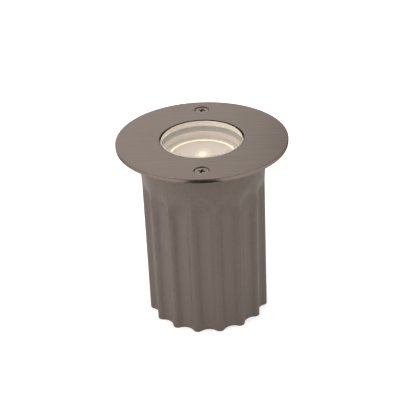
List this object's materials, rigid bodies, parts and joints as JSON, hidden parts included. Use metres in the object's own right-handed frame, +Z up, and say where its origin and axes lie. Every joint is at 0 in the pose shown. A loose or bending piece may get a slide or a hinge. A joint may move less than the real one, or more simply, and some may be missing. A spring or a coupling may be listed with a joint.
{
  "type": "recessed light",
  "caption": "Round in-ground uplight: flush glass in a flat steel trim ring over a fluted plastic sleeve, with a bayonet lamp inside.",
  "frame": {"origin": "centre of the sleeve's foot", "axes": "+Z up along the light's axis, out of the ground; the two trim screws lie on the Y axis, the front one at -Y"},
  "size_m": [0.11, 0.11, 0.122],
  "materials": {
    "sleeve": "matt moulded, warm grey",
    "steel": "finely brushed",
    "screw_steel": "satin",
    "glass": "clear and polished, ground at the edge",
    "silicone": "matt, off-white",
    "cast_grey": "die-cast, satin",
    "lamp_white": "satin",
    "lens": "frosted",
    "board": "white solder mask",
    "chip": "glowing, warm white",
    "driver": "green solder mask",
    "ceramic": "unglazed",
    "zinc": "zinc-plated",
    "brass": "plain",
    "live": "brown insulation",
    "neutral": "blue insulation",
    "earth": "green and yellow insulation",
    "black_nylon": "moulded nylon",
    "black_rubber": "matt"
  },
  "bodies": {
    "sleeve": {"sleeve": "sleeve"},
    "luminaire": {"housing": "cast_grey", "support_ring": "cast_grey", "centring_ring": "silicone", "lampholder": "ceramic", "holder_contacts": "brass", "holder_screws": "zinc", "holder_bracket": "zinc", "bracket_screws": "zinc", "terminal_block": "ceramic", "terminal_barrels": "brass", "terminal_screws": "zinc", "block_screw": "zinc", "live_lead": "live", "neutral_lead": "neutral", "earth_lead": "earth", "earth_tongue": "zinc", "earth_screw": "brass", "gland_body": "black_nylon", "gland_gasket": "black_rubber", "gland_locknut": "black_nylon", "gland_seal": "black_rubber"},
    "front": {"trim_ring": "steel", "glass": "glass", "glass_gasket": "silicone"},
    "front_screw": {"trim_screw_front": "screw_steel"},
    "rear_screw": {"trim_screw_rear": "screw_steel"},
    "lamp": {"lamp_body": "lamp_white", "lamp_lens": "lens", "led_board": "board", "led_chip": "chip", "led_driver": "driver", "lamp_cap": "lamp_white", "lamp_pins": "zinc"},
    "gland_nut": {"gland_nut": "black_nylon"}
  },
  "joints": [
    {"name": "luminaire_lift", "type": "slide", "parent": "sleeve", "child": "luminaire", "axis": [0, 0, 1], "range_m": [0, 0.12]},
    {"name": "front_lift", "type": "slide", "parent": "luminaire", "child": "front", "axis": [0, 0, 1], "range_m": [0, 0.03]},
    {"name": "front_screw_turn", "type": "hinge", "parent": "front", "child": "front_screw", "pos_m": [0, -0.043, 0.1185], "axis": [0, 0, 1], "continuous": true},
    {"name": "rear_screw_turn", "type": "hinge", "parent": "front", "child": "rear_screw", "pos_m": [0, 0.043, 0.1185], "axis": [0, 0, 1], "continuous": true},
    {"name": "lamp_twist", "type": "hinge", "parent": "luminaire", "child": "lamp", "pos_m": [0, 0, 0.06], "axis": [0, 0, 1], "range_deg": [0, 45]},
    {"name": "gland_nut_turn", "type": "hinge", "parent": "luminaire", "child": "gland_nut", "pos_m": [0, 0, 0.015], "axis": [0, 0, 1], "continuous": true}
  ]
}
